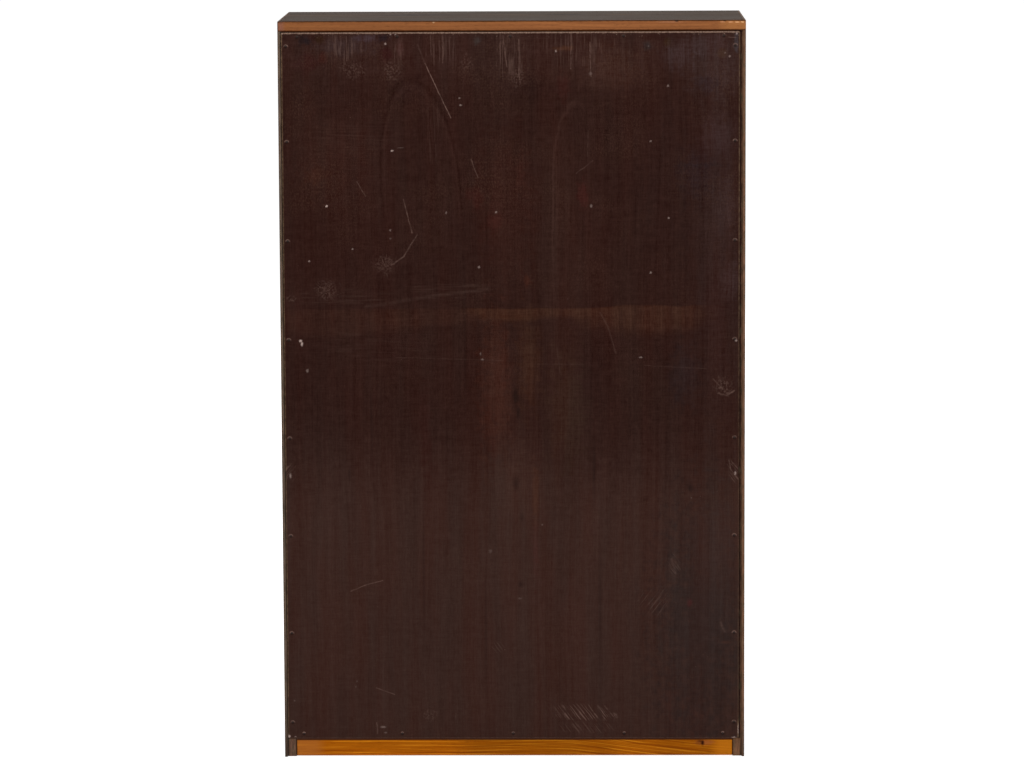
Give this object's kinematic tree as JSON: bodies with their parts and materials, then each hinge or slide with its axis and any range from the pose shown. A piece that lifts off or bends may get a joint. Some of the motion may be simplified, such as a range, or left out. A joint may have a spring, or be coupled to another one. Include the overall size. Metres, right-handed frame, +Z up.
{
  "type": "bookcase",
  "caption": "Tall open bookcase: a dark veneered case on a low plinth, a pinned plywood back and loose shelves on turned pegs in columns of holes.",
  "frame": {"origin": "on the floor, under the middle of the case's footprint", "axes": "+Z up along the case's height, +Y towards the back panel, +X to the right as seen from the open front, which faces -Y"},
  "size_m": [0.8, 0.32, 1.28],
  "materials": {
    "case_veneer": "dark stained veneer, satin",
    "front_lipping": "dark stained solid wood, satin",
    "rear_lipping": "solid wood, thin varnish",
    "front_rail": "dark stained solid wood, satin",
    "pine": "planed pine with an amber wash, dull",
    "back_plywood": "dark stained plywood, scuffed satin",
    "dowel_beech": "bare turned beech",
    "pin_steel": "darkened, dull",
    "peg_brass": "turned, dull"
  },
  "bodies": {
    "case": {"left_side": "case_veneer", "right_side": "case_veneer", "left_side_lipping": "front_lipping", "right_side_lipping": "front_lipping", "top_board": "case_veneer", "top_front_lipping": "front_lipping", "top_rear_lipping": "rear_lipping", "top_left_lipping": "front_lipping", "top_right_lipping": "front_lipping", "bottom_board": "case_veneer", "bottom_board_lipping": "front_lipping", "front_plinth_rail": "front_rail", "rear_plinth_rail": "pine", "top_rear_rail": "pine", "top_dowels": "dowel_beech", "bottom_board_dowels": "dowel_beech", "rail_dowels": "dowel_beech", "back_panel": "back_plywood", "back_panel_pins": "pin_steel", "lower_shelf_pegs": "peg_brass", "middle_shelf_pegs": "peg_brass", "upper_shelf_pegs": "peg_brass"},
    "lower_shelf": {"lower_shelf": "case_veneer", "lower_shelf_lipping": "front_lipping"},
    "middle_shelf": {"middle_shelf": "case_veneer", "middle_shelf_lipping": "front_lipping"},
    "upper_shelf": {"upper_shelf": "case_veneer", "upper_shelf_lipping": "front_lipping"}
  },
  "joints": [
    {"name": "lower_shelf_slide", "type": "slide", "parent": "case", "child": "lower_shelf", "axis": [0, -1, 0], "range_m": [0, 0.33]},
    {"name": "middle_shelf_slide", "type": "slide", "parent": "case", "child": "middle_shelf", "axis": [0, -1, 0], "range_m": [0, 0.33]},
    {"name": "upper_shelf_slide", "type": "slide", "parent": "case", "child": "upper_shelf", "axis": [0, -1, 0], "range_m": [0, 0.33]}
  ]
}
